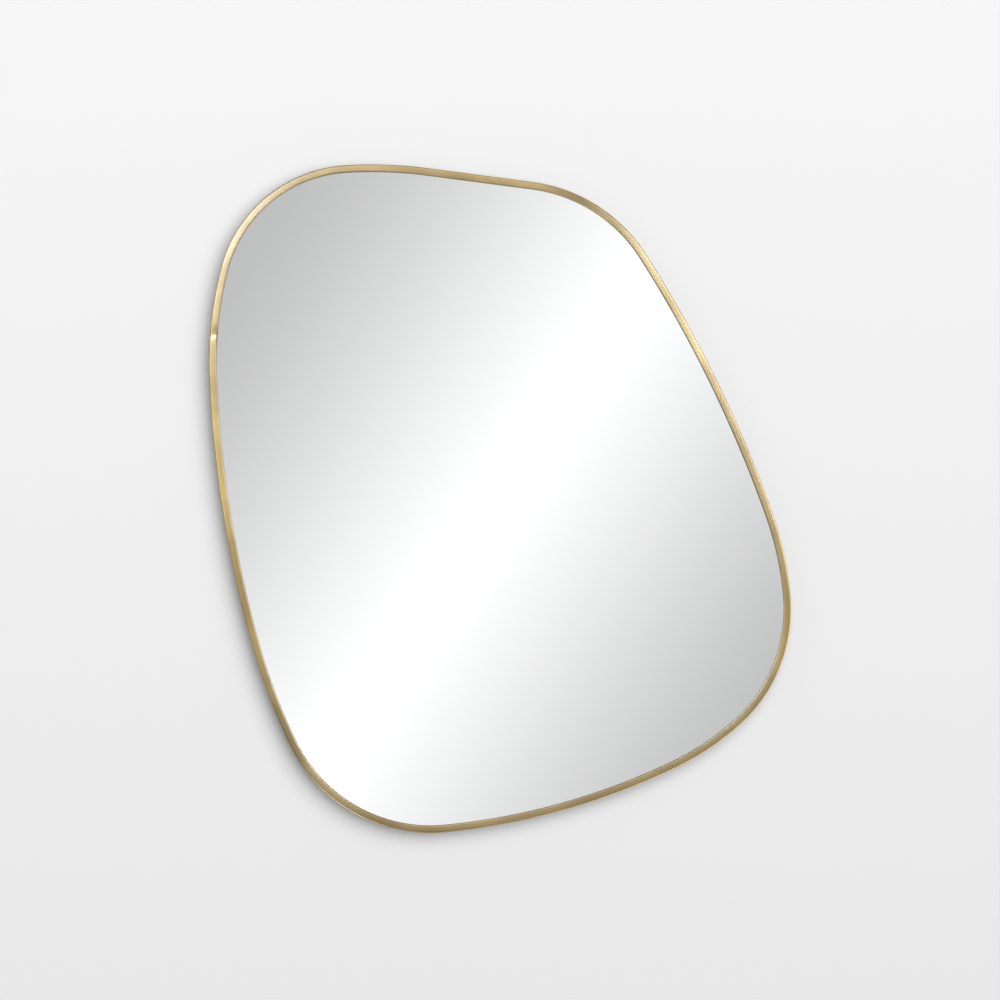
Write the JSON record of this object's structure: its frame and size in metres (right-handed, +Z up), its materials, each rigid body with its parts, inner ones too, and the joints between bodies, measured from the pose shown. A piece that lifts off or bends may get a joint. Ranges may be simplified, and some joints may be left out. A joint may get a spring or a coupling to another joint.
{
  "type": "irregular shaped wall mirror",
  "caption": "Wall mirror with an irregular rounded pebble outline in a slim satin brass-finish metal frame, on a fibreboard back with hinged D-ring hangers and rubber bumpers.",
  "frame": {"origin": "on the wall plane, midway between the two wall hooks that the D-rings hang from", "axes": "+Z up, +X to the right as seen from the front, -Y out of the mirror towards the viewer and +Y into the wall"},
  "size_m": [0.797, 0.0253, 0.915],
  "materials": {
    "brass_finish": "satin",
    "silvered_glass": "polished",
    "black_foam": "matte",
    "clear_film": "satin",
    "white_foam": "matte",
    "fibreboard": "matte",
    "zinc_steel": "satin",
    "black_rubber": "matte"
  },
  "bodies": {
    "mirror_body": {"frame": "brass_finish", "glazing_gasket": "black_foam", "mirror_glass": "silvered_glass", "safety_film": "clear_film", "mounting_tape_1": "white_foam", "mounting_tape_2": "white_foam", "mounting_tape_3": "white_foam", "mounting_tape_4": "white_foam", "backing_board": "fibreboard", "retaining_tab_1": "brass_finish", "retaining_tab_2": "brass_finish", "retaining_tab_3": "brass_finish", "retaining_tab_4": "brass_finish", "retaining_tab_5": "brass_finish", "retaining_tab_6": "brass_finish", "retaining_tab_7": "brass_finish", "retaining_tab_8": "brass_finish", "tab_screw_1": "zinc_steel", "tab_screw_2": "zinc_steel", "tab_screw_3": "zinc_steel", "tab_screw_4": "zinc_steel", "tab_screw_5": "zinc_steel", "tab_screw_6": "zinc_steel", "tab_screw_7": "zinc_steel", "tab_screw_8": "zinc_steel", "hanger_strap_left": "zinc_steel", "hanger_strap_right": "zinc_steel", "hanger_screw_left_upper": "zinc_steel", "hanger_screw_left_lower": "zinc_steel", "hanger_screw_right_upper": "zinc_steel", "hanger_screw_right_lower": "zinc_steel", "wall_bumper_upper_right": "black_rubber", "wall_bumper_lower_right": "black_rubber", "wall_bumper_lower_left": "black_rubber", "wall_bumper_upper_left": "black_rubber"},
    "d_ring_left": {"d_ring_left": "zinc_steel"},
    "d_ring_right": {"d_ring_right": "zinc_steel"}
  },
  "joints": [
    {"name": "left_ring_hinge", "type": "hinge", "parent": "mirror_body", "child": "d_ring_left", "pos_m": [-0.203, -0.005, -0.01375], "axis": [1, 0, 0], "range_deg": [0, 178]},
    {"name": "right_ring_hinge", "type": "hinge", "parent": "mirror_body", "child": "d_ring_right", "pos_m": [0.203, -0.005, -0.01375], "axis": [1, 0, 0], "range_deg": [0, 178]}
  ]
}
